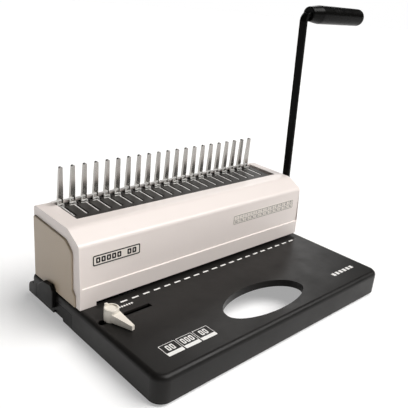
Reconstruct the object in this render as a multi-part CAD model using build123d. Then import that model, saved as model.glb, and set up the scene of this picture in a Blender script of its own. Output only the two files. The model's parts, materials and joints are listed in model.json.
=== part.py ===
from build123d import *
import math
import os

# Comb binding machine with one side lever. All sizes are in millimetres.
# Machine coordinates: X runs along the row of holes with X = 0 at the middle finger,
# Y points to the back with Y = 0 just behind the fingers, Z is up from the base's lower edge.
# ORIGIN moves every part so that the row's origin is the bottom centre of the whole machine.

# ---- driving dimensions ----
HOLE_COUNT = 21
HOLE_PITCH = 14.2875
PUNCH_OFFSET = 5.9

BASE_LEFT = -170.2
BASE_RIGHT = 176.6
BASE_FRONT = -214.4
BASE_BACK = 8.5
BASE_HEIGHT = 27.8
BASE_WALL = 2.4
BASE_CORNER_R = 13.0
BASE_EDGE_R = 5.5
HEEL_BACK = 21.0
HEEL_HEIGHT = 15.0
HEEL_R = 9.0
BOSS_R = 4.0
BOSSES = [(-158, -198), (163, -198), (-158, -140), (163, -96), (163, -2), (0, -96)]
FOOT_DROP = 3.0
FOOT_R = 7.5
FEET = [(-150, -188), (155, -188), (-150, 11.0), (155, 11.0)]
PLATE_FLOOR = 1.2

OVAL_X = 4.8
OVAL_Y = -177.0
OVAL_HALF_LENGTH = 58.5
OVAL_REACH_BACK = 29.7
OVAL_REACH_FRONT = 22.3
OVAL_LIP = 8.3
OVAL_EDGE_R = 1.4
WELL_LEFT = -66.0
WELL_RIGHT = 116.0
WELL_FRONT = -206.0
WELL_BACK = -114.0
WELL_CORNER_R = 12.0

COVER_LEFT = -168.4
COVER_RIGHT = 169.5
COVER_BACK = 6.5
COVER_TOP = 108.9
COVER_FOOT = 27.9
COVER_WALL = 2.6
COVER_EDGE_R = 3.0
HIP_Y = -63.0
HIP_Z = 107.3
RIDGE_Y = -83.6
RIDGE_Z = 95.9
SILL_Y = -86.4
SILL_Z = 49.2
SILL_DEPTH = 1.5
THROAT_TOP = 32.4
THROAT_LEFT = -150.0
THROAT_BACK = -57.0
PANEL_PROUD = 1.9
HUB_SIDE_PROUD = 1.1
PANEL_SUNK = 1.3
PANEL_EDGE_R = 1.2
REAR_SCREWS = [(-152.0, 42.0), (153.0, 42.0), (-152.0, 94.0), (153.0, 94.0)]

PLATE_LEFT = -148.8
PLATE_RIGHT = 152.8
PLATE_BACK = -1.3
PLATE_FRONT = -47.2
PLATE_BACK_Z = 107.1
PLATE_FRONT_Z = 104.9
PLATE_THICK = 1.8
OPENING_GAP = 0.3
OPENING_RIGHT = 155.4
RIM_LEFT = -148.2

SLOT_LEFT = -2.4
SLOT_RIGHT = 1.5
SLOT_FRONT = -34.9
HOLE_BACK = -1.5
HOLE_FRONT = -9.5
HOLE_LEFT = -6.9
HOLE_RIGHT = 4.4
LIP_WIDTH = 1.3
LIP_ABOVE = 0.15
PLATE_MARGIN = 1.2

FINGER_TOP = 149.8
FINGER_SHIFT = -1.2
FINGER_LEAN = 2.0
FINGER_LEAN_START = 107.0
FINGER_RECESS_TOP = 110.0
FINGER_FOOT = 84.0
FINGER_BASE_WIDTH = 7.9
FINGER_TIP_WIDTH = 3.6
FINGER_FRONT = -5.3
FINGER_BACK = -2.1
FINGER_WALL = 0.9
RIVET_Z = 90.0

FRAME_X = 156.5
FRAME_THICK = 3.0
FRAME_FOOT = 27.9
FRAME_TOP = 90.0
TIE_RODS = [(-14.0, 44.0), (-20.0, 72.0)]
TIE_ROD_R = 2.0

SHAFT_Y = -53.9
SHAFT_Z = 64.0
SHAFT_R = 6.0
RUNNING_GAP = 0.05

LEVER_LEAN = 2.03
LEVER_REACH = 252.2
LEVER_INNER_X = 172.0
LEVER_THICK = 5.0
LEVER_WIDTH = 10.0
LEVER_BEND_R = 12.0
LEVER_EYE_R = 13.0
GRIP_START = 183.0
GRIP_CAP_START = 289.5
GRIP_END = 299.0
GRIP_R = 11.6
GRIP_NECK_R = 9.0

PUNCH_Y = -66.0
PUNCH_WIDTH = 7.9
PUNCH_DEPTH = 2.9
PUNCH_FIT = 0.06
PUNCH_STROKE = 9.0
PUNCH_TURN = 80.0
PUNCH_TIP = 33.0
DIE_FRONT = -76.0
DIE_BACK = -45.5
DIE_LEFT = -150.5
DIE_RIGHT = 156.3
DIE_FLOOR = 21.0
GUIDE_BACK = -58.2
GUIDE_TOP = 35.8
STOP_FRONT = -61.5
BAR_FRONT = -72.0
BAR_BACK = -46.0
BAR_BOTTOM = 48.2
BAR_TOP = 55.2
RETAINER_THICK = 2.5
POST_X = 143.0
POST_Y = -52.0
POST_R = 4.0
POST_TOP = 57.3
CAM_BASE_R = 8.5
CAM_X = 112.0
CAM_WIDTH = 10.0

HOOK_THICK = 1.2
HOOK_BLADE_LEFT = -0.2
HOOK_PIN_REACH = 20.0
HOOK_RAIL_BOTTOM = 93.0
HOOK_RAIL_TOP = 96.0
HOOK_RAIL_FRONT = -16.0
HOOK_RAIL_BACK = -6.2
SIDE_PLATE_X = 160.0
SIDE_PLATE_THICK = 1.5

DRAWER_FRONT_Y = -73.3
DRAWER_BACK_Y = 3.6
DRAWER_TOP = 16.8
DRAWER_RIGHT = 148.0
DRAWER_WALL = 1.6
EAR_OUT = 4.6

GUIDE_X = -151.5
GUIDE_Y = -115.5
GUIDE_SLOT_LEFT = -164.0
GUIDE_SLOT_RIGHT = -104.2
GUIDE_SLOT_HALF = 2.9
FENCE_Y = -82.0
FENCE_SLOT_HALF = 2.2
KNOB_R = 7.4
KNOB_BOTTOM = 28.2
KNOB_TOP = 41.5
KNOB_ARM_ANGLE = -78.6
KNOB_ARM_REACH = 28.6
STUD_R = 2.5

LABEL_THICK = 0.2

ORIGIN = (
    -(BASE_LEFT - EAR_OUT + GRIP_END) / 2,
    -(BASE_FRONT + HEEL_BACK) / 2,
    FOOT_DROP,
)


# ---- helpers ----
def block(x0, x1, y0, y1, z0, z1):
    """A box between two corners."""
    solid = Box(x1 - x0, y1 - y0, z1 - z0)
    return Pos((x0 + x1) / 2, (y0 + y1) / 2, (z0 + z1) / 2) * solid


def rod(x, y, z, radius, length, axis="z"):
    """A cylinder centred on a point along one axis."""
    turns = {"x": Rot(0, 90, 0), "y": Rot(90, 0, 0), "z": Rot(0, 0, 0)}
    return Pos(x, y, z) * turns[axis] * Cylinder(radius, length)


def side_prism(points, x0, x1, radii=None):
    """Extrude a closed (Y, Z) outline from x0 to x1, with rounded corners if radii are given."""
    if radii:
        outline = FilletPolyline(*points, radius=radii, close=True)
    else:
        outline = Polyline(*points, close=True)
    face = make_face(Plane.YZ * outline)
    return Pos(x0, 0, 0) * extrude(face, x1 - x0, dir=(1, 0, 0))


def front_prism(points, y_back, depth, radii):
    """Extrude a closed (X, Z) outline forward from y_back."""
    outline = FilletPolyline(*points, radius=radii, close=True)
    face = make_face(Plane.XZ * outline)
    return Pos(0, y_back, 0) * extrude(face, depth, dir=(0, -1, 0))


def pan_screw(x, y, z, direction, radius=1.6, length=8.0):
    """A pan-head screw whose head bears at a point and whose shank runs along direction."""
    head = Cylinder(radius * 1.9, 1.8, align=(Align.CENTER, Align.CENTER, Align.MAX))
    head = fillet(head.edges().sort_by(Axis.Z)[0], 0.8)
    cross = Box(radius * 2.4, 0.7, 1.4) + Box(0.7, radius * 2.4, 1.4)
    shank = Cylinder(radius, length, align=(Align.CENTER, Align.CENTER, Align.MIN))
    body = head - Pos(0, 0, -1.6) * cross + shank
    return Plane(origin=(x, y, z), z_dir=direction) * body


def hole_xs():
    """The X of every finger, hook and slot, left to right."""
    first = -HOLE_PITCH * (HOLE_COUNT - 1) / 2
    return [first + HOLE_PITCH * i for i in range(HOLE_COUNT)]


def punch_xs():
    """The X of every punch: nearly half a pitch off the fingers."""
    return [x + PUNCH_OFFSET for x in hole_xs()]


def punch_box(x, growth, z0, z1):
    """The rectangular prism of one punch, grown all round."""
    half_width = PUNCH_WIDTH / 2 + growth
    half_depth = PUNCH_DEPTH / 2 + growth
    return block(x - half_width, x + half_width, PUNCH_Y - half_depth, PUNCH_Y + half_depth, z0, z1)


def plate_z(y):
    """Height of the slot plate's sloping top surface."""
    slope = (PLATE_BACK_Z - PLATE_FRONT_Z) / (PLATE_BACK - PLATE_FRONT)
    return PLATE_BACK_Z + slope * (y - PLATE_BACK)


def hole_left(x):
    """Left edge of the wide hole behind one slot, kept inside the plate's edge."""
    return max(x + HOLE_LEFT, PLATE_LEFT + PLATE_MARGIN)


def plate_slab(x0, x1, y_front, y_back, above, below):
    """A slab that follows the slot plate's slope, from above its top surface to below it."""
    points = [
        (y_back, plate_z(y_back) + above),
        (y_back, plate_z(y_back) - below),
        (y_front, plate_z(y_front) - below),
        (y_front, plate_z(y_front) + above),
    ]
    return side_prism(points, x0, x1)


def group(shapes):
    """Several separate solids that share one node."""
    return Compound(children=[solid for shape in shapes for solid in shape.solids()])


def save(name, shape):
    """Write one node, moved into the row's frame."""
    export_step(Pos(*ORIGIN) * shape, os.path.join("parts", name + ".step"))


# ---- base ----
def oval_face(growth):
    """The hand opening: a deeper half ellipse to the back and a shallower one to the front."""
    length = OVAL_HALF_LENGTH + growth
    back = EllipticalCenterArc((0, 0), length, OVAL_REACH_BACK + growth, start_angle=0, arc_size=180)
    front = EllipticalCenterArc((0, 0), length, OVAL_REACH_FRONT + growth, start_angle=180, arc_size=180)
    return Pos(OVAL_X, OVAL_Y) * make_face([back, front])


def base_body(inset, bottom, top):
    """The base's main block with rounded front corners, shrunk by inset on every side."""
    body = block(
        BASE_LEFT + inset, BASE_RIGHT - inset, BASE_FRONT + inset, BASE_BACK - inset, bottom, top
    )
    return fillet(body.edges().filter_by(Axis.Z).sort_by(Axis.Y)[:2], BASE_CORNER_R - inset)


def base_heel(inset, bottom):
    """The low heel behind the housing that stops the machine tipping back."""
    start = BASE_BACK - HEEL_R
    heel = block(
        BASE_LEFT + inset, BASE_RIGHT - inset, start, HEEL_BACK - inset, bottom, HEEL_HEIGHT - inset
    )
    edge = heel.edges().filter_by(Axis.X).group_by(Axis.Y)[-1].sort_by(Axis.Z)[-1]
    return fillet(edge, HEEL_R - inset)


def base_tray():
    """Hollow black base with open underside, oval lip, screw bosses and drawer mouth."""
    body = base_body(0, 0, BASE_HEIGHT)
    top_edges = body.edges().group_by(Axis.Z)[-1]
    front_and_sides = top_edges.sort_by(Axis.Y)[:-1]
    tray = fillet(front_and_sides, BASE_EDGE_R) + base_heel(0, 0)
    tray -= base_body(BASE_WALL, -1, BASE_HEIGHT - BASE_WALL)
    tray -= base_heel(BASE_WALL, -1)
    tray += Pos(0, 0, BASE_HEIGHT - OVAL_LIP) * extrude(oval_face(BASE_WALL), OVAL_LIP - 1)
    for x, y in BOSSES:
        tray += rod(x, y, (PLATE_FLOOR + BASE_HEIGHT - 1) / 2, BOSS_R, BASE_HEIGHT - 1 - PLATE_FLOOR)
    tray -= Pos(0, 0, -1) * extrude(oval_face(0), BASE_HEIGHT + 2)
    tray = fillet(tray.edges().filter_by(GeomType.ELLIPSE).group_by(Axis.Z)[-1], OVAL_EDGE_R)
    for x, y in BOSSES:
        tray -= rod(x, y, 5.0, 1.35, 12)
    mouth_top = DRAWER_TOP + 0.3
    tray -= block(
        BASE_LEFT - 1, BASE_LEFT + BASE_WALL + 1, DRAWER_FRONT_Y - 0.3, DRAWER_BACK_Y + 0.3, -1, mouth_top
    )
    tray -= block(DIE_LEFT - 0.2, DIE_RIGHT + 0.2, DIE_FRONT - 0.2, DIE_BACK + 0.2, 20, 29)
    tray -= block(
        GUIDE_SLOT_LEFT, GUIDE_SLOT_RIGHT, GUIDE_Y - GUIDE_SLOT_HALF, GUIDE_Y + GUIDE_SLOT_HALF, 20, 30
    )
    tray -= rod(GUIDE_SLOT_LEFT + 2.5, GUIDE_Y, 25, 4.2, 12)
    tray -= block(-166.0, GUIDE_SLOT_RIGHT + 6, FENCE_Y - FENCE_SLOT_HALF, FENCE_Y + FENCE_SLOT_HALF, 20, 30)
    return tray


def bottom_plate():
    """Steel plate that closes the underside, with a wide well below the hand opening."""
    inset = BASE_WALL + 0.4
    plate = block(
        BASE_LEFT + inset, BASE_RIGHT - inset, BASE_FRONT + inset, HEEL_BACK - inset, 0, PLATE_FLOOR
    )
    plate = fillet(plate.edges().filter_by(Axis.Z).sort_by(Axis.Y)[:2], BASE_CORNER_R - inset)
    well = block(WELL_LEFT, WELL_RIGHT, WELL_FRONT, WELL_BACK, -1, 3)
    plate -= fillet(well.edges().filter_by(Axis.Z), WELL_CORNER_R)
    plate -= block(BASE_LEFT, BASE_LEFT + 4.0, DRAWER_FRONT_Y - 0.5, DRAWER_BACK_Y + 0.5, -1, 3)
    for x, y in BOSSES:
        plate -= rod(x, y, 0.6, 1.7, 4)
    for x, y in FEET:
        plate -= rod(x, y, 0.6, 1.45, 4)
    return plate


def rubber_feet():
    """Four round feet, each counterbored for its screw."""
    feet = []
    for x, y in FEET:
        foot = rod(x, y, -FOOT_DROP / 2, FOOT_R, FOOT_DROP)
        foot = fillet(foot.edges().sort_by(Axis.Z)[0], 0.8)
        foot -= rod(x, y, 0, 1.5, 8)
        foot -= rod(x, y, -FOOT_DROP, 3.4, 4.4)
        feet.append(foot)
    return group(feet)


def foot_screws():
    """Short screws that hold the feet to the bottom plate."""
    head_z = -FOOT_DROP + 2.2
    return group([pan_screw(x, y, head_z, (0, 0, 1), 1.4, 2.8) for x, y in FEET])


def bottom_screws():
    """Screws through the bottom plate into the tray's bosses."""
    return group([pan_screw(x, y, 0, (0, 0, 1), 1.3, 8.0) for x, y in BOSSES])


# ---- housing ----
def cover_outline(inset):
    """Rear wall, sloping top, hip and leaning front of the housing, as (Y, Z) points."""
    return [
        (COVER_BACK - inset, COVER_FOOT),
        (COVER_BACK - inset, COVER_TOP - inset),
        (HIP_Y + 0.3 * inset, HIP_Z - inset),
        (RIDGE_Y + 0.95 * inset, RIDGE_Z - 0.5 * inset),
        (SILL_Y + inset, SILL_Z),
        (SILL_Y + inset, COVER_FOOT),
    ]


def panel_prism(x0, x1, growth):
    """The raised end panel, which follows the housing's end about 11 mm inside its edge."""
    back = COVER_BACK - 1.6 + growth
    foot = COVER_FOOT + 0.4 - growth
    points = [
        (back, foot),
        (back, 98.4 + growth),
        (-61.0 - 0.3 * growth, 95.5 + growth),
        (-73.2 - growth, 86.5 + 0.4 * growth),
        (-73.6 - growth, 46.5),
        (-78.3 - growth, 41.0),
        (-78.6 - growth, foot),
    ]
    return side_prism(points, x0, x1, [0.5, 2.5, 9.0, 7.0, 3.0, 3.0, 0.5])


def main_cover():
    """One-piece light housing, open below, with a recess for the slot plate in its top."""
    outer = side_prism(cover_outline(0), COVER_LEFT, COVER_RIGHT, [0.05, 4.0, 13.0, 4.5, 2.0, 0.05])
    for end in (outer.faces().sort_by(Axis.X)[0], outer.faces().sort_by(Axis.X)[-1]):
        rim = [edge for edge in end.edges() if edge.center().Z > COVER_FOOT + 1]
        outer = fillet(rim, COVER_EDGE_R)
    x0 = COVER_LEFT + COVER_WALL
    x1 = COVER_RIGHT - COVER_WALL
    inner = side_prism(cover_outline(COVER_WALL), x0, x1, [0.05, 1.5, 10.0, 2.5, 1.0, 0.05])
    inner += block(x0, x1, SILL_Y + COVER_WALL, COVER_BACK - COVER_WALL, 20, 40)
    cover = outer - inner
    # rim that carries the slot plate
    cover += plate_slab(-152.0, 158.4, -50.5, 3.5, 0.6, PLATE_THICK + 1.6)
    cover -= plate_slab(PLATE_LEFT - OPENING_GAP, OPENING_RIGHT, PLATE_FRONT - OPENING_GAP,
                        PLATE_BACK + OPENING_GAP, 8, PLATE_THICK)
    cover -= block(RIM_LEFT, 150.2, PLATE_FRONT + 2.5, PLATE_BACK - 0.2, 90, COVER_TOP)
    # the front panel leans in towards the sill, which leaves a ledge along its foot
    wedge = [
        (RIDGE_Y - 4, RIDGE_Z + 0.2),
        (RIDGE_Y - 0.1, RIDGE_Z - 4),
        (SILL_Y + SILL_DEPTH, SILL_Z + 1.4),
        (SILL_Y - 3, SILL_Z),
    ]
    cover -= side_prism(wedge, COVER_LEFT + 2.4, COVER_RIGHT - 2.4)
    # paper throat under the front wall, open at the right end
    cover -= block(THROAT_LEFT, COVER_RIGHT + 1, SILL_Y - 1, THROAT_BACK, 20, THROAT_TOP)
    cover -= panel_prism(COVER_LEFT - 1, COVER_LEFT + PANEL_SUNK, 0.15)
    cover -= panel_prism(COVER_RIGHT - PANEL_SUNK, COVER_RIGHT + 1, 0.15)
    cover -= rod(COVER_RIGHT, SHAFT_Y, SHAFT_Z, 14.0, 12, "x")
    cover -= block(-160.2, 161.2, 0, COVER_BACK + 2, 35.8, 100.2)
    for x, z in REAR_SCREWS:
        tab_edge = -166.5 if x < 0 else 167.5
        cover += block(min(x - 4, tab_edge), max(x + 4, tab_edge), 1.0, 2.6, z - 4, z + 4)
        cover -= rod(x, 2, z, 1.2, 8, "y")
    return cover


def left_end_panel():
    """Raised panel on the housing's left end."""
    panel = panel_prism(COVER_LEFT - PANEL_PROUD, COVER_LEFT + PANEL_SUNK, 0)
    return fillet(panel.faces().sort_by(Axis.X)[0].edges(), PANEL_EDGE_R)


def right_end_panel():
    """Raised panel on the right end, cut away for the throat and bored for the lever hub."""
    panel = panel_prism(COVER_RIGHT - PANEL_SUNK, COVER_RIGHT + HUB_SIDE_PROUD, 0)
    panel = fillet(panel.faces().sort_by(Axis.X)[-1].edges(), HUB_SIDE_PROUD / 2)
    panel -= block(COVER_RIGHT - 5, COVER_RIGHT + 5, SILL_Y, THROAT_BACK, 20, THROAT_TOP)
    return panel - rod(COVER_RIGHT, SHAFT_Y, SHAFT_Z, 11.2, 12, "x")


def rear_cover():
    """Service cover in the housing's back."""
    cover = block(-160.0, 161.0, 2.7, COVER_BACK + 0.6, 36.0, 100.0)
    cover = fillet(cover.edges().filter_by(Axis.Y), 3.0)
    cover = chamfer(cover.faces().sort_by(Axis.Y)[-1].edges(), 0.5)
    for x, z in REAR_SCREWS:
        cover -= rod(x, COVER_BACK, z, 1.4, 12, "y")
        cover -= rod(x, COVER_BACK + 0.6, z, 3.0, 3.8, "y")
    return cover


def rear_screws():
    """Screws of the service cover, sunk in counterbores."""
    y = COVER_BACK + 0.6 - 1.9
    return group([pan_screw(x, y, z, (0, -1, 0), 1.15, 5.0) for x, z in REAR_SCREWS])


def slot_plate():
    """Glossy plate with one T-shaped hole per finger: a wide rear part and a long slot."""
    plate = plate_slab(PLATE_LEFT, PLATE_RIGHT, PLATE_FRONT, PLATE_BACK, 0, PLATE_THICK - 0.02)
    for x in hole_xs():
        plate -= block(hole_left(x), x + HOLE_RIGHT, HOLE_FRONT, HOLE_BACK, 95, 115)
        plate -= block(x + SLOT_LEFT, x + SLOT_RIGHT, SLOT_FRONT, HOLE_FRONT + 1, 95, 115)
    return plate


def slot_lips():
    """Bright L-shaped lips that line the left side of every slot and of its rear hole."""
    lips = []
    depth = PLATE_THICK - 0.05
    for x in hole_xs():
        left = x + SLOT_LEFT
        inner = left + LIP_WIDTH
        run = plate_slab(left, inner, SLOT_FRONT, HOLE_FRONT + LIP_WIDTH, LIP_ABOVE, depth)
        foot = plate_slab(hole_left(x), inner, HOLE_FRONT, HOLE_FRONT + LIP_WIDTH, LIP_ABOVE, depth)
        lips.append(run + foot)
    return group(lips)


def front_label(x0, x1, z0, z1):
    """A thin plate that lies on the leaning front panel."""
    lean = (SILL_Y + SILL_DEPTH - RIDGE_Y + 0.1) / (SILL_Z + 1.4 - RIDGE_Z + 4)
    low = RIDGE_Y - 0.1 + lean * (z0 - RIDGE_Z + 4)
    high = RIDGE_Y - 0.1 + lean * (z1 - RIDGE_Z + 4)
    points = [(low, z0), (high, z1), (high - LABEL_THICK, z1), (low - LABEL_THICK, z0)]
    plate = side_prism(points, x0, x1)
    return fillet(plate.edges().filter_by(Axis.Y, tolerance=1), 2.0)


# ---- comb fingers ----
def finger_outline(x, foot, inset, drop):
    """Tapering (X, Z) outline of one finger, narrower by inset on each side."""
    half_base = FINGER_BASE_WIDTH / 2 - inset
    half_tip = FINGER_TIP_WIDTH / 2 - inset
    top = FINGER_TOP - drop
    return [(x - half_base, foot), (x + half_base, foot), (x + half_tip, top), (x - half_tip, top)]


def finger_xs():
    """The fingers stand a little to the left of their punches."""
    return [x + FINGER_SHIFT for x in hole_xs()]


def finger_profile(x):
    """Side view of one finger: upright in the rail, leaning slightly forward above the plate."""
    points = [
        (FINGER_BACK, FINGER_FOOT),
        (FINGER_BACK, FINGER_LEAN_START),
        (FINGER_BACK - FINGER_LEAN, FINGER_TOP),
        (FINGER_FRONT - FINGER_LEAN, FINGER_TOP),
        (FINGER_FRONT, FINGER_LEAN_START),
        (FINGER_FRONT, FINGER_FOOT),
    ]
    return side_prism(points, x - FINGER_BASE_WIDTH, x + FINGER_BASE_WIDTH)


def comb_fingers():
    """Tapering fingers, a channel open to the front below the plate and solid above it."""
    depth = FINGER_BACK - FINGER_FRONT
    fingers = []
    for x in finger_xs():
        outline = finger_outline(x, FINGER_FOOT, 0, 0)
        solid = front_prism(outline, FINGER_BACK, depth + FINGER_LEAN, [0.2, 0.2, 1.5, 1.5]) & finger_profile(x)
        inner = finger_outline(x, FINGER_FOOT - 1, FINGER_WALL, 0)
        recess = front_prism(inner, FINGER_BACK - FINGER_WALL, depth, [0.2, 0.2, 0.5, 0.5])
        solid -= recess & block(x - 8, x + 8, FINGER_FRONT - 1, 0, FINGER_FOOT - 2, FINGER_RECESS_TOP)
        fingers.append(solid - rod(x, FINGER_BACK, RIVET_Z, 1.2, 8, "y"))
    return group(fingers)


def finger_rail():
    """Steel angle behind the fingers that carries all of them."""
    reach = FRAME_X + FRAME_THICK
    rail = block(-reach, reach, FINGER_BACK, -0.6, 78.0, 102.0)
    rail += block(-reach, reach, FINGER_BACK, 2.4, 78.0, 79.5)
    for x in finger_xs():
        rail -= rod(x, -1, RIVET_Z, 1.2, 8, "y")
    return rail


def finger_rivets():
    """One rivet per finger."""
    rivets = []
    front = FINGER_BACK - FINGER_WALL
    for x in finger_xs():
        shank = rod(x, (front - 0.6) / 2, RIVET_Z, 1.2, 3.0, "y")
        front_head = rod(x, front - 0.4, RIVET_Z, 1.9, 0.8, "y")
        rear_head = rod(x, -0.2, RIVET_Z, 2.2, 0.8, "y")
        rivets.append(shank + front_head + rear_head)
    return group(rivets)


# ---- inner frame ----
def side_frame(side):
    """Steel side frame with a foot flange, bored for the shaft bush and the tie rods."""
    x0 = FRAME_X if side > 0 else -FRAME_X - FRAME_THICK
    x_mid = side * (FRAME_X + FRAME_THICK / 2)
    points = [
        (FINGER_BACK, FRAME_FOOT),
        (FINGER_BACK, FRAME_TOP),
        (-60.0, FRAME_TOP),
        (-76.0, 74.0),
        (-76.0, FRAME_FOOT),
    ]
    frame = side_prism(points, x0, x0 + FRAME_THICK, [0.5, 3, 10, 10, 0.5])
    flange_x = side * (FRAME_X - 4.5)
    frame += block(flange_x - 4.6, flange_x + 4.6, -42.0, -6.0, FRAME_FOOT, FRAME_FOOT + 2)
    frame -= rod(x_mid, SHAFT_Y, SHAFT_Z, 8.0, 10, "x")
    for y, z in TIE_RODS:
        frame -= rod(x_mid, y, z, TIE_ROD_R, 10, "x")
    for y in (-36.0, -12.0):
        frame -= rod(flange_x, y, 29, 1.6, 8)
    if side > 0:
        frame -= block(x0 - 1, x0 + 5, DIE_FRONT - 2, THROAT_BACK, 20, THROAT_TOP)
    return frame


def tie_rods():
    """Two shouldered rods with a nut at each end that hold the side frames apart."""
    rods = []
    for y, z in TIE_RODS:
        body = rod(0, y, z, 3.5, 2 * FRAME_X, "x")
        body += rod(0, y, z, TIE_ROD_R, 2 * (FRAME_X + FRAME_THICK + 4), "x")
        nut = side_prism([(4 * math.cos(math.radians(a)), 4 * math.sin(math.radians(a)))
                          for a in range(0, 360, 60)], 0, 3.2)
        body += Pos(FRAME_X + FRAME_THICK, y, z) * nut
        body += Pos(-FRAME_X - FRAME_THICK - 3.2, y, z) * nut
        rods.append(body)
    return group(rods)


def frame_screws():
    """Screws through the side frames' feet into the tray's top."""
    xs = (-FRAME_X + 4.5, FRAME_X - 4.5)
    return group([pan_screw(x, y, FRAME_FOOT + 2, (0, 0, -1), 1.6, 2.0) for x in xs for y in (-36, -12)])


def shaft_bushes():
    """Two flanged bronze bushes pressed into the side frames."""
    bushes = []
    for side in (-1, 1):
        bush = rod(side * (FRAME_X + FRAME_THICK / 2), SHAFT_Y, SHAFT_Z, 8.0, FRAME_THICK, "x")
        bush += rod(side * (FRAME_X - 0.75), SHAFT_Y, SHAFT_Z, 10.0, 1.5, "x")
        bushes.append(bush - rod(side * FRAME_X, SHAFT_Y, SHAFT_Z, SHAFT_R + RUNNING_GAP, 20, "x"))
    return group(bushes)


# ---- die set ----
def die_screw_xs():
    """Screws stand midway between two punches."""
    xs = punch_xs()
    return [xs[i] + HOLE_PITCH / 2 for i in (0, 6, 13, 19)]


def die_block():
    """Lower die with one rectangular hole per punch, relieved below."""
    die = block(DIE_LEFT, DIE_RIGHT, DIE_FRONT, DIE_BACK, DIE_FLOOR, BASE_HEIGHT)
    for x in punch_xs():
        die -= punch_box(x, PUNCH_FIT, 15, 35)
        die -= block(x - 5, x + 5, PUNCH_Y - 3, PUNCH_Y + 3, 15, 24.0)
    for x in die_screw_xs():
        die -= rod(x, -59.9, 25, 1.3, 20)
    return die


def paper_stop():
    """Strip between die and punch guide that the paper's edge meets."""
    stop = block(DIE_LEFT, DIE_RIGHT, STOP_FRONT, GUIDE_BACK, BASE_HEIGHT, THROAT_TOP)
    for x in die_screw_xs():
        stop -= rod(x, -59.9, 30, 1.3, 20)
    return stop


def punch_guide():
    """Upper plate that guides the punches and strips the paper off them."""
    guide = block(DIE_LEFT, DIE_RIGHT, DIE_FRONT, GUIDE_BACK, THROAT_TOP, GUIDE_TOP)
    for x in punch_xs():
        guide -= punch_box(x, PUNCH_FIT, 30, 40)
    for x in die_screw_xs():
        guide -= rod(x, -59.9, 33, 1.3, 20)
        guide -= rod(x, -59.9, GUIDE_TOP, 2.7, 3.8)
    return guide


def die_screws():
    """Screws that clamp guide, stop and die together, sunk into the guide."""
    z = GUIDE_TOP - 1.9
    return group([pan_screw(x, -59.9, z, (0, 0, -1), 1.3, 11.0) for x in die_screw_xs()])


def guide_posts():
    """Two posts that the punch bar slides on."""
    posts = []
    for side in (-1, 1):
        post = rod(side * POST_X, POST_Y, (BASE_HEIGHT + POST_TOP) / 2, POST_R, POST_TOP - BASE_HEIGHT)
        posts.append(chamfer(post.edges().sort_by(Axis.Z)[-1], 0.6))
    return group(posts)


def return_springs():
    """Two coil springs on the posts that lift the punch bar."""
    wire = 0.55
    springs = []
    for side in (-1, 1):
        height = BAR_BOTTOM - BASE_HEIGHT - 2 * wire
        path = Helix(pitch=height / 6, height=height, radius=POST_R + 1.1)
        section = Plane(origin=path @ 0, z_dir=path % 0) * Circle(wire)
        coil = sweep(section, path=path)
        springs.append(Pos(side * POST_X, POST_Y, BASE_HEIGHT + wire) * coil)
    return group(springs)


# ---- punch bar ----
def punch_pins():
    """Rectangular punches with a slightly hollow cutting end."""
    pins = []
    for x in punch_xs():
        pin = punch_box(x, 0, PUNCH_TIP, BAR_BOTTOM)
        hollow = [(x - 2.6, PUNCH_TIP - 1), (x + 2.6, PUNCH_TIP - 1), (x, PUNCH_TIP + 0.9)]
        pins.append(pin - front_prism(hollow, PUNCH_Y + 3, 6, [0.1, 0.1, 0.5]))
    return group(pins)


def punch_retainer():
    """Plate under the bar that holds the punches in line."""
    plate = block(-146.0, 154.5, PUNCH_Y - 4.5, PUNCH_Y + 4.5, BAR_BOTTOM - RETAINER_THICK, BAR_BOTTOM)
    for x in punch_xs():
        plate -= punch_box(x, 0.01, 40, 50)
    for x in die_screw_xs():
        plate -= rod(x, PUNCH_Y, 46, 1.3, 10)
    return plate


def punch_bar():
    """Beam that the cams push down."""
    bar = block(-152.0, 154.5, BAR_FRONT, BAR_BACK, BAR_BOTTOM, BAR_TOP)
    for side in (-1, 1):
        bar -= rod(side * POST_X, POST_Y, BAR_TOP, POST_R + RUNNING_GAP, 30)
    for x in die_screw_xs():
        bar -= rod(x, PUNCH_Y, BAR_TOP, 1.3, 30)
    return bar


def bar_screws():
    """Screws down through the bar into the retainer."""
    return group([pan_screw(x, PUNCH_Y, BAR_TOP, (0, 0, -1), 1.3, 9.0) for x in die_screw_xs()])


# ---- drive shaft ----
def drive_shaft():
    """Steel shaft across the machine, grooved for clips, with a tapped right end."""
    shaft_end = LEVER_INNER_X + LEVER_THICK + 0.3
    shaft_start = -FRAME_X - FRAME_THICK - 4.5
    shaft = rod((shaft_start + shaft_end) / 2, SHAFT_Y, SHAFT_Z, SHAFT_R, shaft_end - shaft_start, "x")
    shaft = chamfer(shaft.edges().filter_by(GeomType.CIRCLE), 0.5)
    ring = rod(0, SHAFT_Y, SHAFT_Z, SHAFT_R + 1, 1.1, "x") - rod(0, SHAFT_Y, SHAFT_Z, SHAFT_R - 0.8, 2, "x")
    shaft -= Pos(-FRAME_X - FRAME_THICK - 1.0, 0, 0) * ring
    shaft -= Pos(FRAME_X - 2.6, 0, 0) * ring
    shaft -= rod(shaft_end, SHAFT_Y, SHAFT_Z, 2.0, 13, "x")
    return shaft - rod(168.9, SHAFT_Y, SHAFT_Z + 4, 1.5, 8)


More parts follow.
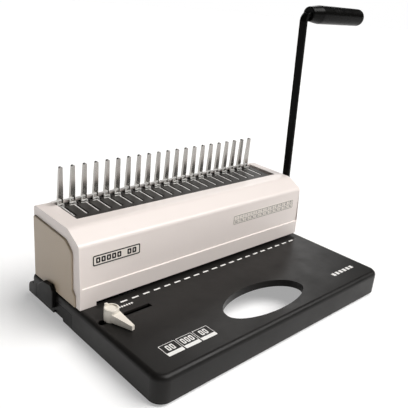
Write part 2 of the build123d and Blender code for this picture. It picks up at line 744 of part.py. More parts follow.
def punch_cams():
    """Two cams with an involute flank, so the bar falls evenly as the shaft turns."""
    rate = PUNCH_STROKE / math.radians(PUNCH_TURN)

    def flank(turn):
        """Point of the flank whose tangent faces down after the shaft has turned this far."""
        reach = CAM_BASE_R + rate * turn
        y = -reach * math.sin(turn) - rate * math.cos(turn)
        z = -reach * math.cos(turn) + rate * math.sin(turn)
        return (y, z)

    last = math.radians(PUNCH_TURN)
    steps = 8
    points = [flank(last * i / steps) for i in range(steps + 1)]
    curve = [
        Line((0, -CAM_BASE_R), points[0]),
        Spline(*points),
        ThreePointArc(points[-1], (-10.5, 9.5), (0, CAM_BASE_R)),
        ThreePointArc((0, CAM_BASE_R), (CAM_BASE_R, 0), (0, -CAM_BASE_R)),
    ]
    face = make_face([Plane.YZ * edge for edge in curve])
    solid = extrude(face, CAM_WIDTH, dir=(1, 0, 0)) - rod(CAM_WIDTH / 2, 0, 0, SHAFT_R, CAM_WIDTH + 2, "x")
    cams = []
    for x in (-CAM_X - CAM_WIDTH / 2, CAM_X - CAM_WIDTH / 2):
        cams.append(Pos(x, SHAFT_Y, SHAFT_Z) * solid - cam_pin(x + CAM_WIDTH / 2, 1.25))
    return group(cams)


def cam_pin(x, radius):
    """Set screw that locks one cam to the shaft from above."""
    return rod(x, SHAFT_Y, SHAFT_Z + SHAFT_R + 1.2, radius, 2.4)


def cam_pins():
    """One set screw per cam."""
    return group([cam_pin(side * CAM_X, 1.25) for side in (-1, 1)])


def retaining_clips():
    """Open rings in the shaft's grooves."""
    clips = []
    for x in (-FRAME_X - FRAME_THICK - 1.0, FRAME_X - 2.6):
        clip = rod(x, SHAFT_Y, SHAFT_Z, SHAFT_R + 2.4, 1.0, "x")
        clip -= rod(x, SHAFT_Y, SHAFT_Z, SHAFT_R - 0.8, 3, "x")
        clips.append(clip - block(x - 2, x + 2, SHAFT_Y - 2.2, SHAFT_Y + 2.2, SHAFT_Z - 12, SHAFT_Z))
    return group(clips)


def dog_pin():
    """Cross pin that the lever hub drives when the lever is pulled forward."""
    return rod(168.9, SHAFT_Y, SHAFT_Z + 4.6, 1.5, 9.2)


def hub_washer():
    """Washer that keeps the lever on the shaft."""
    x = LEVER_INNER_X + LEVER_THICK + 0.8
    return rod(x, SHAFT_Y, SHAFT_Z, 9.0, 1.0, "x") - rod(x, SHAFT_Y, SHAFT_Z, 2.0, 3, "x")


def hub_screw():
    """Screw in the end of the shaft."""
    x = LEVER_INNER_X + LEVER_THICK + 1.3
    return pan_screw(x, SHAFT_Y, SHAFT_Z, (-1, 0, 0), 2.0, 7.0)


# ---- lever ----
def lean(shape):
    """Tilt a part of the lever back from the vertical about the shaft."""
    return Pos(0, SHAFT_Y, SHAFT_Z) * Rot(-LEVER_LEAN, 0, 0) * Pos(0, -SHAFT_Y, -SHAFT_Z) * shape


def lever_bar():
    """Flat bar with an eye at the shaft, bent over at the top to carry the grip."""
    outer = LEVER_INNER_X
    inner = LEVER_INNER_X + LEVER_THICK
    top = SHAFT_Z + LEVER_REACH + LEVER_THICK / 2
    low = top - LEVER_THICK
    tail = GRIP_CAP_START - 4
    points = [(outer, SHAFT_Z), (outer, top), (tail, top), (tail, low), (inner, low), (inner, SHAFT_Z)]
    radii = [0.05, LEVER_BEND_R, 0.4, 0.4, LEVER_BEND_R - LEVER_THICK, 0.05]
    bar = front_prism(points, SHAFT_Y + LEVER_WIDTH / 2, LEVER_WIDTH, radii)
    bar = fillet(bar.edges().filter_by(lambda e: e.length > 80), 1.0)
    middle = (outer + inner) / 2
    bar += rod(middle, SHAFT_Y, SHAFT_Z, LEVER_EYE_R, LEVER_THICK, "x")
    return lean(bar - rod(middle, SHAFT_Y, SHAFT_Z, SHAFT_R + RUNNING_GAP, 20, "x"))


def grip_revolve(points, radii):
    """Turn a profile of (X, radius) points about the grip's axis."""
    outline = FilletPolyline(*points, radius=radii, close=True)
    return lean(Pos(0, SHAFT_Y, SHAFT_Z + LEVER_REACH) * revolve(make_face(Plane.XZ * outline), Axis.X))


def lever_grip():
    """Black grip with a tapered neck, moulded over the bar's end."""
    points = [(GRIP_START, 0), (GRIP_START, GRIP_NECK_R), (GRIP_START + 20, GRIP_R),
              (GRIP_CAP_START, GRIP_R - 0.4), (GRIP_CAP_START, 0)]
    grip = grip_revolve(points, [0.01, 1.5, 8.0, 0.5, 0.01])
    bore = block(GRIP_START - 1, GRIP_CAP_START - 3.8, SHAFT_Y - LEVER_WIDTH / 2, SHAFT_Y + LEVER_WIDTH / 2,
                 SHAFT_Z + LEVER_REACH - LEVER_THICK / 2 - 0.1, SHAFT_Z + LEVER_REACH + LEVER_THICK / 2)
    return grip - lean(bore)


def grip_end_cap():
    """Rounded cap that closes the grip."""
    points = [(GRIP_CAP_START + 0.1, 0), (GRIP_CAP_START + 0.1, GRIP_R - 0.4), (GRIP_END, GRIP_R - 0.6),
              (GRIP_END, 0)]
    return grip_revolve(points, [0.01, 0.4, 6.5, 0.01])


def lever_hub():
    """Sleeve on the shaft with a flange outside and a drive arm inside; its slot frees the dog pin."""
    sleeve_start = SIDE_PLATE_X + SIDE_PLATE_THICK + 0.8
    length = LEVER_INNER_X - sleeve_start
    hub = rod(sleeve_start + length / 2, SHAFT_Y, SHAFT_Z, 10.0, length, "x")
    hub += rod(LEVER_INNER_X - 0.5, SHAFT_Y, SHAFT_Z, LEVER_EYE_R, 1.0, "x")
    arm_x = sleeve_start + 1.5
    hub += block(sleeve_start, sleeve_start + 3, SHAFT_Y - 4.5, SHAFT_Y + 4.5, SHAFT_Z - HOOK_PIN_REACH, SHAFT_Z)
    hub += rod(arm_x, SHAFT_Y, SHAFT_Z - HOOK_PIN_REACH, 4.5, 3, "x")
    hub -= rod(arm_x, SHAFT_Y, SHAFT_Z, SHAFT_R + RUNNING_GAP, 60, "x")
    hub -= rod(arm_x, SHAFT_Y, SHAFT_Z - HOOK_PIN_REACH, 2.5, 10, "x")
    for turn in range(-1, 5):
        notch = rod(0, 0, 8, 1.9, 8)
        hub -= Pos(168.9, SHAFT_Y, SHAFT_Z) * Rot(turn * 12, 0, 0) * notch
    return hub


def drive_pin():
    """Pin at the end of the drive arm that pushes the hook rail's side plate."""
    x0 = SIDE_PLATE_X - 0.1
    x1 = SIDE_PLATE_X + SIDE_PLATE_THICK + 3.8
    return rod((x0 + x1) / 2, SHAFT_Y, SHAFT_Z - HOOK_PIN_REACH, 2.5, x1 - x0, "x")


# ---- comb opening hooks ----
def comb_hooks():
    """Steel hooks: a blade that rises through the slot, a sideways stem and a T-shaped head."""
    hooks = []
    for x in hole_xs():
        left = x + HOOK_BLADE_LEFT
        right = left + HOOK_THICK
        blade = block(left, right, -9.2, -6.4, HOOK_RAIL_TOP, 109.4)
        blade += block(left, right, HOOK_RAIL_FRONT + 1, -6.4, HOOK_RAIL_TOP, HOOK_RAIL_TOP + 3)
        head = block(x - 6.0, right, -7.6, -6.4, 107.9, 109.4)
        head += block(x - 6.0, x - 4.6, -7.6, -6.4, 107.9, 113.0)
        wing = front_prism(
            [(x - 12.2, 112.5), (x - 1.3, 112.8), (x - 1.3, 114.4), (x - 12.2, 113.9)],
            -6.4, HOOK_THICK, [0.5, 0.5, 0.5, 0.5],
        )
        hooks.append(blade + head + wing)
    return group(hooks)


def hook_rail():
    """Flat steel rail that carries the hooks below the slot plate."""
    rail = block(-159.0, SIDE_PLATE_X, HOOK_RAIL_FRONT, HOOK_RAIL_BACK, HOOK_RAIL_BOTTOM, HOOK_RAIL_TOP)
    return chamfer(rail.edges().filter_by(Axis.X), 0.3)


def hook_side_plate():
    """Plate at the rail's right end that reaches down to the drive pin, in front of the shaft."""
    pin_back = SHAFT_Y - 2.8
    points = [
        (HOOK_RAIL_BACK, HOOK_RAIL_TOP),
        (-24.0, HOOK_RAIL_TOP),
        (-30.0, 91.0),
        (-60.0, 91.0),
        (-65.0, 86.0),
        (-65.0, 34.5),
        (pin_back, 34.5),
        (pin_back, 52.0),
        (-61.4, 52.0),
        (-61.4, 83.0),
        (HOOK_RAIL_BACK, 83.0),
    ]
    radii = [1, 1, 3, 3, 1, 1, 1, 1, 2, 2, 1]
    return side_prism(points, SIDE_PLATE_X, SIDE_PLATE_X + SIDE_PLATE_THICK, radii)


def hook_guides():
    """Slides on top of the side frames that the rail rests on."""
    guides = []
    for side in (-1, 1):
        x = side * (FRAME_X - 2.2)
        guide = block(x - 2.2, x + 2.2, -40.0, -2.3, 86.0, HOOK_RAIL_BOTTOM - 0.05)
        guides.append(guide)
    return group(guides)


# ---- chip drawer ----
def chip_drawer():
    """Open tray that catches the punched chips."""
    x0 = BASE_LEFT + 3.6
    y0 = DRAWER_FRONT_Y + 0.8
    y1 = DRAWER_BACK_Y - 0.8
    tray = block(x0, DRAWER_RIGHT, y0, y1, 1.6, DRAWER_TOP - 1.0)
    return tray - block(x0 + DRAWER_WALL, DRAWER_RIGHT - DRAWER_WALL, y0 + DRAWER_WALL, y1 - DRAWER_WALL, 3.0, 30)


def drawer_front():
    """End plate of the drawer, flush in the base's left wall, with a finger notch below."""
    front = block(BASE_LEFT, BASE_LEFT + 3.6, DRAWER_FRONT_Y, DRAWER_BACK_Y, 0.3, DRAWER_TOP)
    notch = side_prism(
        [(-35.0, -2.0), (-36.5, 5.0), (-48.0, 8.8), (-53.5, 7.0), (-56.5, -2.0)],
        BASE_LEFT - 1,
        BASE_LEFT + 2.2,
        [0.1, 3.0, 4.0, 3.0, 0.1],
    )
    return front - notch


def drawer_pull():
    """Raised ear outside the drawer's end plate, to pull it out by."""
    outline = [(-8.0, 9.0), (-10.0, 25.0), (-21.0, 33.0), (-38.0, 36.0), (-42.0, 30.0), (-41.0, 9.0)]
    ear = side_prism(outline, BASE_LEFT - EAR_OUT, BASE_LEFT, [3.0, 6.0, 6.0, 3.5, 3.0, 2.0])
    ear = fillet(ear.faces().sort_by(Axis.X)[0].edges(), 1.2)
    return ear - block(COVER_LEFT - PANEL_PROUD - 0.4, BASE_LEFT + 1, -60, 10, BASE_HEIGHT, 40)


# ---- edge guide ----
def guide_carriage():
    """Block that slides under the tray's top below the guide slot."""
    carriage = block(GUIDE_X - 8, GUIDE_X + 8, GUIDE_Y - 6.5, GUIDE_Y + 6.5, 20.5, 25.2)
    carriage += block(GUIDE_X - 3.5, GUIDE_X + 3.5, GUIDE_Y - 2.7, GUIDE_Y + 2.7, 25.2, 27.6)
    return carriage - rod(GUIDE_X, GUIDE_Y, 24, STUD_R, 20)


def edge_fence():
    """Steel tongue from the carriage to an upright stop for the paper's left edge."""
    fence = block(GUIDE_X - 4.5, GUIDE_X + 4.5, GUIDE_Y + 6.5, FENCE_Y + 1.6, 23.7, 25.2)
    return fence + block(GUIDE_X - 0.7, GUIDE_X + 0.7, FENCE_Y - 1.6, FENCE_Y + 1.6, 23.7, 31.9)


def lock_stud():
    """Headed stud that clamps the guide when the knob is turned."""
    stud = rod(GUIDE_X, GUIDE_Y, 27.0, STUD_R, 17.0)
    return stud + rod(GUIDE_X, GUIDE_Y, 19.5, 4.5, 2.0)


def friction_washer():
    """Thin washer between knob and tray."""
    washer = rod(GUIDE_X, GUIDE_Y, 27.98, 5.5, 0.3)
    return washer - rod(GUIDE_X, GUIDE_Y, 28, STUD_R, 2)


def guide_knob():
    """Round knob with a dished top, a rim nub and a tapering pointer arm."""
    knob = rod(0, 0, (KNOB_BOTTOM + KNOB_TOP) / 2, KNOB_R, KNOB_TOP - KNOB_BOTTOM)
    knob = fillet(knob.edges().sort_by(Axis.Z)[-1], 0.7)
    knob -= Pos(0, 0, KNOB_TOP) * Cylinder(KNOB_R - 1.7, 2.4)
    side_view = make_face(Plane.XZ * Polyline(
        (2.0, KNOB_BOTTOM + 0.6), (2.0, 38.0), (KNOB_ARM_REACH, 33.6), (KNOB_ARM_REACH, KNOB_BOTTOM + 0.6),
        close=True,
    ))
    plan_view = make_face(Polyline(
        (2.0, -5.8), (KNOB_ARM_REACH, -1.7), (KNOB_ARM_REACH, 1.7), (2.0, 5.8), close=True,
    ))
    arm = extrude(side_view, 8, both=True) & extrude(plan_view, 60)
    arm -= rod(0, 0, 40, KNOB_R - 1.5, 30)
    nub = block(-KNOB_R - 1.0, -KNOB_R + 1.6, -1.6, 1.6, KNOB_TOP - 4.0, KNOB_TOP + 1.0)
    body = knob + arm + fillet(nub.edges().filter_by(Axis.Z), 0.5)
    body -= rod(0, 0, KNOB_BOTTOM, STUD_R + RUNNING_GAP, 16)
    return Pos(GUIDE_X, GUIDE_Y, 0) * Rot(0, 0, KNOB_ARM_ANGLE) * body


NODES = {
    "base_tray": base_tray,
    "bottom_plate": bottom_plate,
    "rubber_feet": rubber_feet,
    "foot_screws": foot_screws,
    "bottom_screws": bottom_screws,
    "main_cover": main_cover,
    "left_end_panel": left_end_panel,
    "right_end_panel": right_end_panel,
    "rear_cover": rear_cover,
    "rear_screws": rear_screws,
    "slot_plate": slot_plate,
    "slot_lips": slot_lips,
    "name_badge": lambda: front_label(-154.0, -96.2, 70.6, 83.4),
    "comb_chart": lambda: front_label(41.8, 155.6, 70.8, 83.0),
    "comb_fingers": comb_fingers,
    "finger_rail": finger_rail,
    "finger_rivets": finger_rivets,
    "side_frame_left": lambda: side_frame(-1),
    "side_frame_right": lambda: side_frame(1),
    "tie_rods": tie_rods,
    "frame_screws": frame_screws,
    "shaft_bushes": shaft_bushes,
    "die_block": die_block,
    "paper_stop": paper_stop,
    "punch_guide": punch_guide,
    "die_screws": die_screws,
    "guide_posts": guide_posts,
    "return_springs": return_springs,
    "hook_guides": hook_guides,
    "punch_pins": punch_pins,
    "punch_retainer": punch_retainer,
    "punch_bar": punch_bar,
    "bar_screws": bar_screws,
    "drive_shaft": drive_shaft,
    "punch_cams": punch_cams,
    "cam_pins": cam_pins,
    "retaining_clips": retaining_clips,
    "dog_pin": dog_pin,
    "hub_washer": hub_washer,
    "hub_screw": hub_screw,
    "lever_bar": lever_bar,
    "lever_grip": lever_grip,
    "grip_end_cap": grip_end_cap,
    "lever_hub": lever_hub,
    "drive_pin": drive_pin,
    "comb_hooks": comb_hooks,
    "hook_rail": hook_rail,
    "hook_side_plate": hook_side_plate,
    "chip_drawer": chip_drawer,
    "drawer_front": drawer_front,
    "drawer_pull": drawer_pull,
    "guide_carriage": guide_carriage,
    "edge_fence": edge_fence,
    "lock_stud": lock_stud,
    "friction_washer": friction_washer,
    "guide_knob": guide_knob,
}

os.makedirs("parts", exist_ok=True)
for node, build in NODES.items():
    save(node, build())
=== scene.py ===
import json
import math

import bmesh
import bpy
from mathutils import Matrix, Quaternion, Vector


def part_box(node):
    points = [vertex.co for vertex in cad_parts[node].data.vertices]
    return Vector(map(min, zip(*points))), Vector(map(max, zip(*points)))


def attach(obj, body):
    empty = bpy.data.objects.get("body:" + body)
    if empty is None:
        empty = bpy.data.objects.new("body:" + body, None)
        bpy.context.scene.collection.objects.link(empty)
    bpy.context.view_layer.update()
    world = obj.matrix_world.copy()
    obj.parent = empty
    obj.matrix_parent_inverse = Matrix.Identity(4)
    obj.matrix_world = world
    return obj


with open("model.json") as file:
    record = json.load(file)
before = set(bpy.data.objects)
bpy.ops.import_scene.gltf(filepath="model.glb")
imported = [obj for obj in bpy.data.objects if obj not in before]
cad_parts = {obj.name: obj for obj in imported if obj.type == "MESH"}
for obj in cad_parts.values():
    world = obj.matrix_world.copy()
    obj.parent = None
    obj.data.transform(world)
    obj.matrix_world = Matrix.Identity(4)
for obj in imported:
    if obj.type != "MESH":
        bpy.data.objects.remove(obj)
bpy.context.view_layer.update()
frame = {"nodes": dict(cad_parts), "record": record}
nodes = frame["nodes"]

# Machine coordinates are millimetres with X = 0 at the middle finger, Y = 0 behind the fingers
# and Z = 0 at the base's lower edge. The base tray's low corner ties them to the row frame.
TRAY_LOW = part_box("base_tray")[0]
ORIGIN = TRAY_LOW - Vector((-170.2, -214.4, 0.0)) / 1000
PITCH = 14.2875
FINGERS = [PITCH * (i - 10) for i in range(21)]
BASE_TOP = 27.8
PRINT_THICKNESS = 0.06
LABEL_THICKNESS = 0.2


def at(x, y, z):
    """A point of the machine, in the row frame."""
    return Vector((x, y, z)) / 1000 + ORIGIN


# ---------------------------------------------------------------- materials
def srgb(r, g, b):
    """Linear colour of an 8-bit display colour."""
    def one(v):
        v = v / 255
        return v / 12.92 if v <= 0.04045 else ((v + 0.055) / 1.055) ** 2.4
    return (one(r), one(g), one(b), 1.0)


TINT_BAND = (0.30, 0.70)
# Pointiness band over which convex edges take a painted highlight.
EDGE_HIGHLIGHT_BAND = (0.52, 0.62)
GLOSS_BAND = (0.25, 0.75)
GLOSS_SCALE = 2.3
SMOOTHEST = 0.02
GRAIN_STRENGTH = 0.35


def surface(name, colour, rough, metal=0.0, specular=0.5, tint=0.10, tint_scale=25.0,
            rough_vary=0.08, grain=900.0, grain_depth=0.03, brushed=None, edge_highlight=None):
    """A moulded, painted or plated surface: colour drift, uneven gloss, fine grain and painted
    highlights on convex edges.
    """
    mat = bpy.data.materials.new(name)
    mat.use_nodes = True
    tree = mat.node_tree
    tree.nodes.clear()
    out = tree.nodes.new("ShaderNodeOutputMaterial")
    bsdf = tree.nodes.new("ShaderNodeBsdfPrincipled")
    tree.links.new(bsdf.outputs["BSDF"], out.inputs["Surface"])
    bsdf.inputs["Metallic"].default_value = metal
    bsdf.inputs["Specular IOR Level"].default_value = specular
    coord = tree.nodes.new("ShaderNodeTexCoord")
    mapping = tree.nodes.new("ShaderNodeMapping")
    tree.links.new(coord.outputs["Object"], mapping.inputs["Vector"])
    if brushed:
        mapping.inputs["Scale"].default_value = brushed

    def noise(scale, detail, roughness=0.5):
        node = tree.nodes.new("ShaderNodeTexNoise")
        node.inputs["Scale"].default_value = scale
        node.inputs["Detail"].default_value = detail
        node.inputs["Roughness"].default_value = roughness
        tree.links.new(mapping.outputs["Vector"], node.inputs["Vector"])
        return node

    drift = noise(tint_scale, 3.0)
    ramp = tree.nodes.new("ShaderNodeValToRGB")
    ramp.color_ramp.elements[0].position = TINT_BAND[0]
    ramp.color_ramp.elements[1].position = TINT_BAND[1]
    ramp.color_ramp.elements[0].color = [c * (1 - tint) for c in colour[:3]] + [1]
    ramp.color_ramp.elements[1].color = [min(1, c * (1 + tint)) for c in colour[:3]] + [1]
    tree.links.new(drift.outputs["Fac"], ramp.inputs["Fac"])
    colour_out = ramp.outputs["Color"]
    # Painted highlight: convex edges (high pointiness) are mixed towards a lighter colour so that
    # they look like edge glints.
    if edge_highlight:
        geometry = tree.nodes.new("ShaderNodeNewGeometry")
        edge = tree.nodes.new("ShaderNodeMapRange")
        edge.inputs["From Min"].default_value = EDGE_HIGHLIGHT_BAND[0]
        edge.inputs["From Max"].default_value = EDGE_HIGHLIGHT_BAND[1]
        edge.inputs["To Max"].default_value = edge_highlight[0]
        tree.links.new(geometry.outputs["Pointiness"], edge.inputs["Value"])
        mix = tree.nodes.new("ShaderNodeMix")
        mix.data_type = "RGBA"
        tree.links.new(edge.outputs["Result"], mix.inputs[0])
        tree.links.new(colour_out, mix.inputs[6])
        mix.inputs[7].default_value = edge_highlight[1]
        colour_out = mix.outputs[2]
    tree.links.new(colour_out, bsdf.inputs["Base Color"])
    uneven = noise(tint_scale * GLOSS_SCALE, 4.0, 0.6)
    rough_range = tree.nodes.new("ShaderNodeMapRange")
    rough_range.inputs["From Min"].default_value = GLOSS_BAND[0]
    rough_range.inputs["From Max"].default_value = GLOSS_BAND[1]
    rough_range.inputs["To Min"].default_value = max(SMOOTHEST, rough - rough_vary)
    rough_range.inputs["To Max"].default_value = min(1.0, rough + rough_vary)
    tree.links.new(uneven.outputs["Fac"], rough_range.inputs["Value"])
    tree.links.new(rough_range.outputs["Result"], bsdf.inputs["Roughness"])
    fine = noise(grain, 2.0, 0.6)
    bump = tree.nodes.new("ShaderNodeBump")
    bump.inputs["Strength"].default_value = GRAIN_STRENGTH
    bump.inputs["Distance"].default_value = grain_depth / 1000
    tree.links.new(fine.outputs["Fac"], bump.inputs["Height"])
    tree.links.new(bump.outputs["Normal"], bsdf.inputs["Normal"])
    return mat


# The lighter edge colours given to the base, plate and lever below are painted highlights on their
# convex edges.
MATS = {
    "base_black": surface(
        "satin_charcoal", srgb(23, 22, 21), 0.36, specular=0.18, tint=0.10, tint_scale=14,
        grain=1400, grain_depth=0.05, edge_highlight=(0.25, srgb(50, 48, 46))),
    "cover_cream": surface(
        "warm_grey_plastic", srgb(228, 219, 214), 0.30, specular=0.45, tint=0.006, tint_scale=40,
        rough_vary=0.03, grain=1600, grain_depth=0.02),
    "drawer_black": surface(
        "smooth_black_plastic", srgb(16, 15, 14), 0.36, specular=0.12, tint=0.12, grain=1200,
        grain_depth=0.03),
    "plate_grey": surface(
        "dark_enamel", srgb(46, 44, 42), 0.42, specular=0.18, tint=0.08, rough_vary=0.06,
        grain=900, grain_depth=0.03, edge_highlight=(0.3, srgb(96, 93, 90))),
    "bright_steel": surface(
        "bright_plating", srgb(168, 167, 166), 0.20, metal=1.0, tint=0.06, tint_scale=60,
        rough_vary=0.07, grain=1500, grain_depth=0.012, brushed=(1, 1, 0.15)),
    "zinc_steel": surface(
        "zinc_sheet", srgb(158, 158, 160), 0.38, metal=1.0, tint=0.10, tint_scale=80, grain=1200,
        grain_depth=0.02, brushed=(0.12, 1, 1)),
    "tool_steel": surface(
        "ground_steel", srgb(128, 128, 132), 0.30, metal=1.0, tint=0.08, tint_scale=70,
        grain=1500, grain_depth=0.015, brushed=(1, 1, 0.12)),
    "lever_black": surface(
        "gloss_black_enamel", srgb(10, 10, 9), 0.24, specular=0.05, tint=0.10, grain=320,
        grain_depth=0.02, edge_highlight=(0.3, srgb(50, 50, 48))),
    "grip_black": surface(
        "gloss_black_grip", srgb(11, 11, 10), 0.24, specular=0.06, tint=0.10, grain=700,
        grain_depth=0.02),
    "knob_cream": surface(
        "glossy_cream_plastic", srgb(222, 216, 205), 0.30, specular=0.45, tint=0.015, grain=900,
        grain_depth=0.015),
    "label_light": surface(
        "label_film", srgb(226, 219, 211), 0.38, specular=0.4, tint=0.01, grain=1500,
        grain_depth=0.01),
    "foot_rubber": surface(
        "black_rubber", srgb(30, 30, 30), 0.75, specular=0.3, tint=0.15, grain=900,
        grain_depth=0.08),
    "floor_grey": surface(
        "dark_painted_sheet", srgb(52, 52, 53), 0.5, specular=0.4, tint=0.08, grain=500,
        grain_depth=0.04),
    "bush_bronze": surface(
        "sintered_bronze", srgb(176, 132, 78), 0.42, metal=1.0, tint=0.12, grain=1800,
        grain_depth=0.04),
}
INK_WHITE = surface(
    "white_print", srgb(232, 231, 228), 0.42, specular=0.35, tint=0.03, grain=2200,
    grain_depth=0.006)
INK_BLACK = surface(
    "black_print", srgb(24, 23, 23), 0.40, specular=0.35, tint=0.05, grain=2200, grain_depth=0.006)
INK_GREY = surface(
    "grey_print", srgb(84, 82, 80), 0.40, specular=0.35, tint=0.04, grain=2200, grain_depth=0.006)
# End panels: a darker warm grey than the cover, partly the panels' own tone and partly painted shade
# for the left end, which faces away from the key light.
PANEL_TONE_AND_SHADE = surface(
    "panel_tone_and_painted_shade", srgb(172, 156, 136), 0.32, specular=0.45, tint=0.01, tint_scale=40,
    rough_vary=0.03, grain=1600, grain_depth=0.03)
FINGER_STEEL = surface(
    "stamped_finger_steel", srgb(172, 169, 165), 0.24, metal=1.0, tint=0.10, tint_scale=70,
    rough_vary=0.08, grain=1500, grain_depth=0.015, brushed=(1, 1, 0.12))
# Slot lips and hook arms: partly their own bright steel and partly a painted highlight. The
# near-white half-metal colour shows the glint along the slot edges.
STEEL_WITH_PAINTED_GLINT = surface(
    "steel_with_painted_glint", srgb(238, 237, 234), 0.42, metal=0.45, specular=0.6, tint=0.04,
    tint_scale=80, rough_vary=0.06, grain=1500, grain_depth=0.012)

for entry in frame["record"]["subparts"]:
    thing = nodes[entry["node"]]
    thing.data.materials.clear()
    thing.data.materials.append(MATS[entry["material_slot"]])
for name, material in (("left_end_panel", PANEL_TONE_AND_SHADE), ("right_end_panel", PANEL_TONE_AND_SHADE),
                       ("comb_fingers", FINGER_STEEL), ("slot_lips", STEEL_WITH_PAINTED_GLINT),
                       ("comb_hooks", STEEL_WITH_PAINTED_GLINT)):
    nodes[name].data.materials[0] = material


# ---------------------------------------------------------------- mesh helpers
SMOOTH_ANGLE = 35


def finish_mesh(name, bm, material, body):
    """Turn a bmesh built in machine millimetres into a piece that rides on a body."""
    bmesh.ops.recalc_face_normals(bm, faces=bm.faces)
    for v in bm.verts:
        v.co = at(*v.co)
    mesh = bpy.data.meshes.new(name)
    bm.to_mesh(mesh)
    bm.free()
    mesh.polygons.foreach_set("use_smooth", [True] * len(mesh.polygons))
    mesh.set_sharp_from_angle(angle=math.radians(SMOOTH_ANGLE))
    obj = bpy.data.objects.new(name, mesh)
    bpy.context.scene.collection.objects.link(obj)
    obj.data.materials.append(material)
    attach(obj, body)


def rounded(x0, x1, y0, y1, radius, steps=5):
    """Corner points of a rounded rectangle, anticlockwise."""
    points = []
    corners = [(x1 - radius, y1 - radius, 0), (x0 + radius, y1 - radius, 90),
               (x0 + radius, y0 + radius, 180), (x1 - radius, y0 + radius, 270)]
    for cx, cy, start in corners:
        for i in range(steps + 1):
            turn = math.radians(start + 90 * i / steps)
            points.append((cx + radius * math.cos(turn), cy + radius * math.sin(turn)))
    return points


def extruded(bm, outline, place, low, high):
    """Add a prism: outline points (u, v) from height low to high, each placed by place(u, v, w)."""
    bottom = [bm.verts.new(place(u, v, low)) for u, v in outline]
    top = [bm.verts.new(place(u, v, high)) for u, v in outline]
    bm.faces.new(top)
    bm.faces.new(list(reversed(bottom)))
    count = len(outline)
    for i in range(count):
        j = (i + 1) % count
        bm.faces.new((bottom[i], bottom[j], top[j], top[i]))


def ring(bm, outer, inner, place, low, high):
    """Add a closed frame between two outlines with the same number of points."""
    rows = []
    for outline in (outer, inner):
        rows.append([bm.verts.new(place(u, v, low)) for u, v in outline])
        rows.append([bm.verts.new(place(u, v, high)) for u, v in outline])
    outer_low, outer_high, inner_low, inner_high = rows
    count = len(outer)
    for i in range(count):
        j = (i + 1) % count
        bm.faces.new((outer_low[i], outer_low[j], outer_high[j], outer_high[i]))
        bm.faces.new((inner_low[j], inner_low[i], inner_high[i], inner_high[j]))
        bm.faces.new((outer_high[i], outer_high[j], inner_high[j], inner_high[i]))
        bm.faces.new((outer_low[j], outer_low[i], inner_low[i], inner_low[j]))


def on_base(u, v, w):
    """Base top: u to the right, v to the back, w above the surface."""
    return (u, v, BASE_TOP + w)


# The front panel leans back by 1.2 mm over its height of 41.3 mm.
FRONT_Y, FRONT_Z = -84.9, 50.6
FRONT_UP = Vector((0.0, 1.2, 41.3)).normalized()
FRONT_OUT = Vector((0.0, -FRONT_UP.z, FRONT_UP.y))


def on_front(u, v, w):
    """Leaning front panel: u to the right, v is the height Z, w out of the surface."""
    point = Vector((u, FRONT_Y, FRONT_Z)) + FRONT_UP * ((v - FRONT_Z) / FRONT_UP.z) + FRONT_OUT * w
    return tuple(point)


EDGE_SEGMENTS = 2
EDGE_ANGLE = 38


def soften(name, width):
    """Round the sharp edges of a carried-over CAD node so that they catch the light."""
    modifier = nodes[name].modifiers.new("edges", "BEVEL")
    modifier.width = width / 1000
    modifier.segments = EDGE_SEGMENTS
    modifier.limit_method = "ANGLE"
    modifier.angle_limit = math.radians(EDGE_ANGLE)
    modifier.harden_normals = False


# ---------------------------------------------------------------- printed marks
DASH_SHIFT = 5.9
DASH_HALF = 4.1
DASH_FRONT, DASH_BACK = -96.0, -93.9


def paper_marks():
    """White dashes along the throat, one in front of each punch."""
    bm = bmesh.new()
    for x in FINGERS:
        middle = x + DASH_SHIFT
        dash = rounded(middle - DASH_HALF, middle + DASH_HALF, DASH_FRONT, DASH_BACK, 0.4, 2)
        extruded(bm, dash, on_base, 0.0, PRINT_THICKNESS)
    finish_mesh("paper_marks", bm, INK_WHITE, "machine")


ICON_LEFT = -142.5
ICON_PITCH = 20.2
ICON_WIDTH = 18.6
ICON_FRONT, ICON_BACK = -193.5, -176.5
ICON_BORDER = 0.5
ICON_BAR_THICKNESS = 0.065
BLOCK_WIDTH = 3.7
BLOCK_GAP = 1.2
BLOCK_COUNTS = (2, 3, 2)


def icon_boxes():
    """Three outlined boxes with solid lower bars, as on a generic capacity chart."""
    bm = bmesh.new()
    for i, count in enumerate(BLOCK_COUNTS):
        x0 = ICON_LEFT + ICON_PITCH * i
        x1 = x0 + ICON_WIDTH
        inner_x0, inner_x1 = x0 + ICON_BORDER, x1 - ICON_BORDER
        outer = rounded(x0, x1, ICON_FRONT, ICON_BACK, 0.9)
        inner = rounded(inner_x0, inner_x1, ICON_FRONT + ICON_BORDER, ICON_BACK - ICON_BORDER, 0.5)
        ring(bm, outer, inner, on_base, 0.0, PRINT_THICKNESS)
        bar = rounded(inner_x0, inner_x1, -193.2, -189.0, 0.6)
        extruded(bm, bar, on_base, 0.0, ICON_BAR_THICKNESS)
        row_width = count * BLOCK_WIDTH + (count - 1) * BLOCK_GAP
        for k in range(count):
            start = (x0 + x1) / 2 - row_width / 2 + k * (BLOCK_WIDTH + BLOCK_GAP)
            end = start + BLOCK_WIDTH
            block = rounded(start, end, -186.9, -179.3, 0.8, 2)
            hole = rounded(start + 1.2, end - 1.2, -185.6, -180.6, 0.4, 2)
            ring(bm, block, hole, on_base, 0.0, PRINT_THICKNESS)
    finish_mesh("icon_boxes", bm, INK_WHITE, "machine")


BAR_SHARE = 0.66


